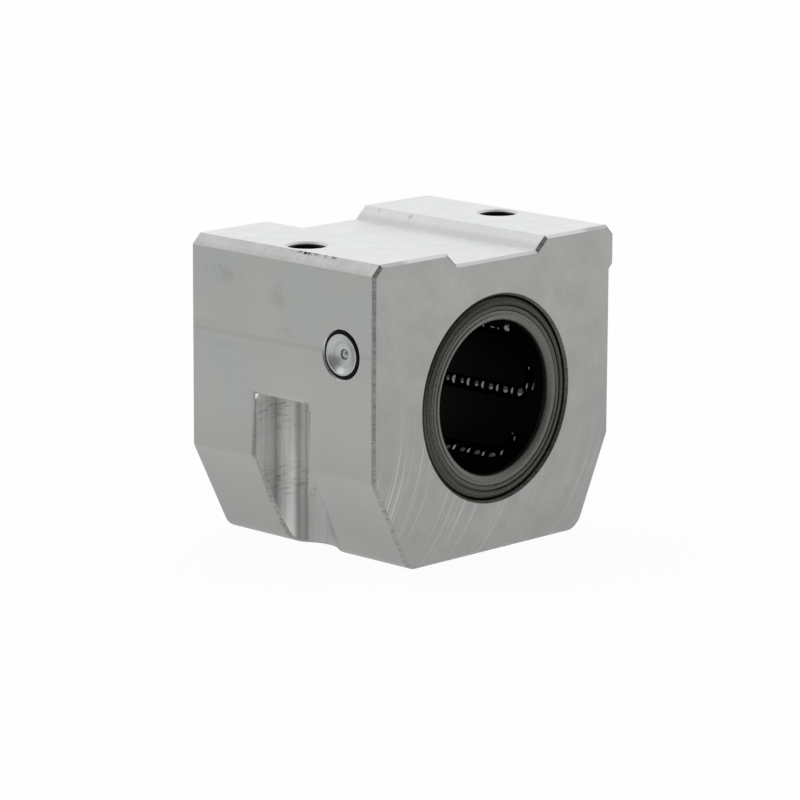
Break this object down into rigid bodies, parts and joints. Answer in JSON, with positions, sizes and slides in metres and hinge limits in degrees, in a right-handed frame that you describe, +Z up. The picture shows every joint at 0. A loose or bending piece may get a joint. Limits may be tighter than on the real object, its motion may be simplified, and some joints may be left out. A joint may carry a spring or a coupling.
{
  "type": "linear ball bearing unit",
  "caption": "Closed linear ball bushing in a compact aluminium block with a grooved mounting face, screw pockets, lip seals and a lubrication nipple.",
  "frame": {"origin": "on the shaft's axis at mid-length, 30 mm below the mounting face and 30 mm above the foot", "axes": "+Y along the shaft towards the rear end, +X across towards the side with the locating strip, +Z up, out of the grooved mounting face"},
  "size_m": [0.067, 0.05, 0.06],
  "materials": {
    "housing_aluminium": "extruded and face-milled, plain",
    "sleeve_steel": "hardened and turned, dark grey",
    "cage_plastic": "moulded, black",
    "ball_steel": "hardened and polished",
    "seal_rubber": "smooth moulded, grey",
    "retainer_steel": "turned, satin",
    "nipple_steel": "turned and plated, satin",
    "spring_steel": "drawn wire",
    "ring_rubber": "smooth, black"
  },
  "bodies": {
    "unit": {"housing": "housing_aluminium", "outer_sleeve": "sleeve_steel", "ball_cage": "cage_plastic", "front_seal": "seal_rubber", "rear_seal": "seal_rubber", "front_seal_retainer": "retainer_steel", "rear_seal_retainer": "retainer_steel", "nipple_body": "nipple_steel", "nipple_spring": "spring_steel", "nipple_ring": "ring_rubber", "load_row_1": "ball_steel", "return_row_1": "ball_steel", "load_row_2": "ball_steel", "return_row_2": "ball_steel", "load_row_3": "ball_steel", "return_row_3": "ball_steel", "load_row_4": "ball_steel", "return_row_4": "ball_steel", "load_row_5": "ball_steel", "return_row_5": "ball_steel", "load_row_6": "ball_steel", "return_row_6": "ball_steel", "load_row_7": "ball_steel", "return_row_7": "ball_steel"},
    "check_ball": {"nipple_ball": "ball_steel"}
  },
  "joints": [
    {"name": "check_ball_travel", "type": "slide", "parent": "unit", "child": "check_ball", "axis": [1, 0, 0], "range_m": [0, 0.0006], "stiffness_N_per_m": 300, "springref_m": -0.0005, "deforming": ["nipple_spring"]}
  ]
}
